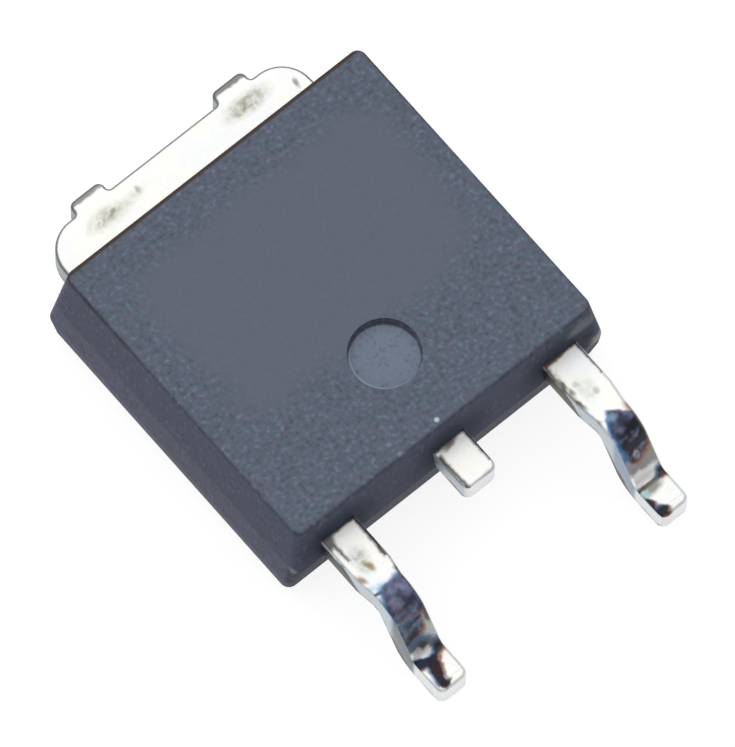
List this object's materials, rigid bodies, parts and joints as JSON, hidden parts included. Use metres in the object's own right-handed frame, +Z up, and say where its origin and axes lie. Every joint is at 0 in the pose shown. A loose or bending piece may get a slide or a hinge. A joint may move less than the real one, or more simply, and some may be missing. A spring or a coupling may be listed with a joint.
{
  "type": "power transistor",
  "caption": "Flat surface-mount power transistor with a moulded black body, a wide soldering tab at one end and bent gull-wing leads at the other.",
  "frame": {"origin": "middle of the overall outline, on the plane that the tab and the lead feet are soldered to", "axes": "+X across the leads towards the source lead, +Y from the lead tips towards the tab, +Z up out of the circuit board"},
  "size_m": [0.0066, 0.0102, 0.0023],
  "materials": {
    "moulding_compound": "spark-eroded matte",
    "tinned_copper": "matte tin plate with handling stains",
    "silicon": "sawn and passivated",
    "die_solder": "reflowed",
    "bond_wire": "drawn"
  },
  "bodies": {
    "root": {"mould_body": "moulding_compound", "drain_tab": "tinned_copper", "gate_lead": "tinned_copper", "source_lead": "tinned_copper", "die": "silicon", "die_solder": "die_solder", "gate_wire": "bond_wire", "source_wire_1": "bond_wire", "source_wire_2": "bond_wire"}
  },
  "joints": []
}
